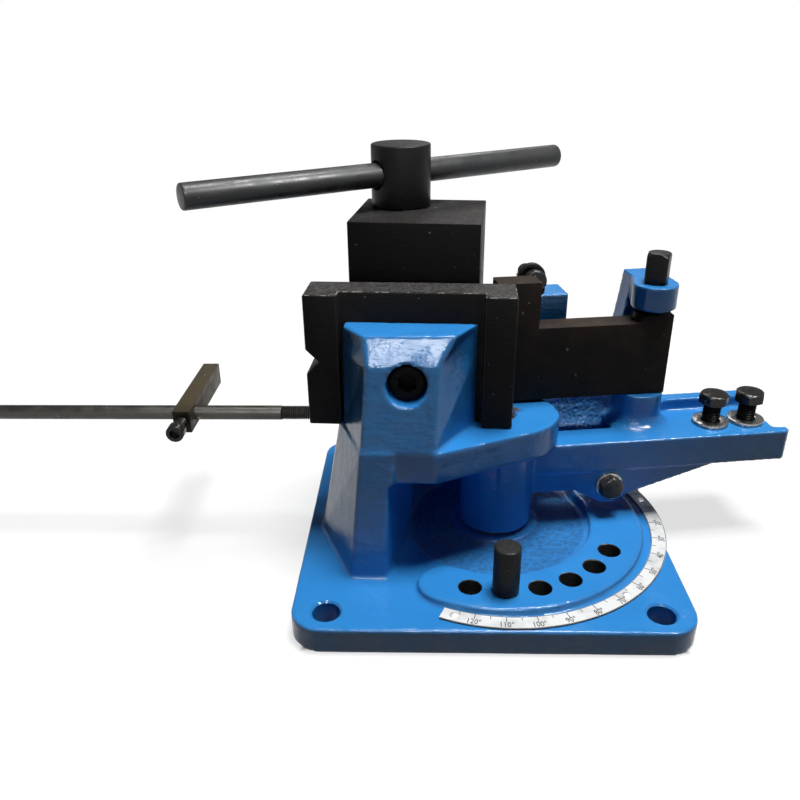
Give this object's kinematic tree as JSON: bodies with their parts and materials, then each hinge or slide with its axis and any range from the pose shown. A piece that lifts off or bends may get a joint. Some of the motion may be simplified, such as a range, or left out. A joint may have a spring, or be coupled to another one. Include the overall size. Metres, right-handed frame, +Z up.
{
  "type": "bench bar bender",
  "caption": "Bench bar bender: cast base with column and shelf, fixed U-jaw, eccentric clamp block with T-bar, and a swinging arm with a hinged bending jaw over a stop band and angle scale.",
  "frame": {"origin": "middle of the base's bolt pattern, on the underside", "axes": "+Z up, +X to the operator's right along the rest position of the arm, +Y to the back"},
  "size_m": [0.5625, 0.2688, 0.2651],
  "materials": {
    "blue_enamel": "glossy enamel on a sand casting",
    "black_steel": "black oxide, lightly oiled, with a little rust",
    "bright_steel": "zinc plated, slightly dulled",
    "bronze": "turned bearing bronze",
    "scale_plate": "white lacquer with black graduations"
  },
  "bodies": {
    "frame": {"main_casting": "blue_enamel", "angle_scale": "scale_plate", "scale_rivets": "bright_steel", "fixed_jaw": "black_steel", "jaw_bolt": "black_steel", "pivot_pin": "bright_steel", "thrust_washer": "bronze", "spindle_bush": "bronze", "spindle_screw": "black_steel"},
    "swing_arm": {"swing_arm": "blue_enamel", "upper_bush": "bronze", "lower_bush": "bronze", "hinge_pin": "black_steel", "lever_washers": "bright_steel", "stop_bolt_washer": "bright_steel", "stop_bolt_nut": "black_steel", "adjusting_eye": "black_steel", "adjusting_nut": "black_steel"},
    "lever_bolt_inner": {"lever_bolt_inner": "black_steel"},
    "lever_bolt_outer": {"lever_bolt_outer": "black_steel"},
    "stop_bolt": {"stop_bolt": "black_steel"},
    "adjusting_bolt": {"adjusting_bolt": "black_steel"},
    "bending_jaw": {"bending_jaw": "black_steel"},
    "clamp_spindle": {"clamp_spindle": "black_steel"},
    "t_bar": {"t_bar": "black_steel"},
    "clamp_block": {"clamp_block": "black_steel"},
    "stop_pin": {"stop_pin": "black_steel"},
    "stop_rod": {"stop_rod": "black_steel"},
    "stop_finger": {"stop_finger": "black_steel"},
    "finger_screw": {"finger_screw": "black_steel"}
  },
  "joints": [
    {"name": "arm_swing", "type": "hinge", "parent": "frame", "child": "swing_arm", "pos_m": [0.0085, -0.0028, 0.05], "axis": [0, 0, -1], "range_deg": [-4, 77]},
    {"name": "jaw_set", "type": "hinge", "parent": "swing_arm", "child": "bending_jaw", "pos_m": [0.11219, 0.0354, 0.13], "axis": [0, 0, -1], "range_deg": [0, 2.8]},
    {"name": "adjusting_bolt_travel", "type": "slide", "parent": "swing_arm", "child": "adjusting_bolt", "axis": [-0.1392, 0.9903, 0], "range_m": [0, 0.004]},
    {"name": "lever_bolt_inner_travel", "type": "slide", "parent": "swing_arm", "child": "lever_bolt_inner", "axis": [0, 0, -1], "range_m": [-0.006, 0.0125]},
    {"name": "lever_bolt_outer_travel", "type": "slide", "parent": "swing_arm", "child": "lever_bolt_outer", "axis": [0, 0, -1], "range_m": [-0.006, 0.0125]},
    {"name": "stop_bolt_travel", "type": "slide", "parent": "swing_arm", "child": "stop_bolt", "axis": [0.1392, -0.9903, 0], "range_m": [0, 0.005]},
    {"name": "spindle_turn", "type": "hinge", "parent": "frame", "child": "clamp_spindle", "pos_m": [-0.05689, 0.0701, 0.15], "axis": [0, 0, -1], "range_deg": [-140, 40]},
    {"name": "block_carry", "type": "hinge", "parent": "clamp_spindle", "child": "clamp_block", "pos_m": [-0.05432, 0.06703, 0.16], "axis": [0, 0, -1], "range_deg": [-40.5, 140.5]},
    {"name": "t_bar_slide", "type": "slide", "parent": "clamp_spindle", "child": "t_bar", "axis": [0.8339, 0.5519, 0], "range_m": [-0.1, 0.1]},
    {"name": "stop_pin_lift", "type": "slide", "parent": "frame", "child": "stop_pin", "axis": [0, 0, 1], "range_m": [0, 0.06]},
    {"name": "stop_rod_turn", "type": "hinge", "parent": "frame", "child": "stop_rod", "pos_m": [-0.2, 0.02, 0.091], "axis": [1, 0, 0], "range_deg": [-60, 90]},
    {"name": "finger_slide", "type": "slide", "parent": "stop_rod", "child": "stop_finger", "axis": [1, 0, 0], "range_m": [-0.13, 0.07]},
    {"name": "finger_screw_travel", "type": "slide", "parent": "stop_finger", "child": "finger_screw", "axis": [0, -1, 0], "range_m": [0, 0.006]}
  ],
  "couplings": [
    {"joint": "adjusting_bolt_travel", "follows": "jaw_set", "m_per_rad": 0.079},
    {"joint": "block_carry", "follows": "spindle_turn", "ratio": -1}
  ]
}
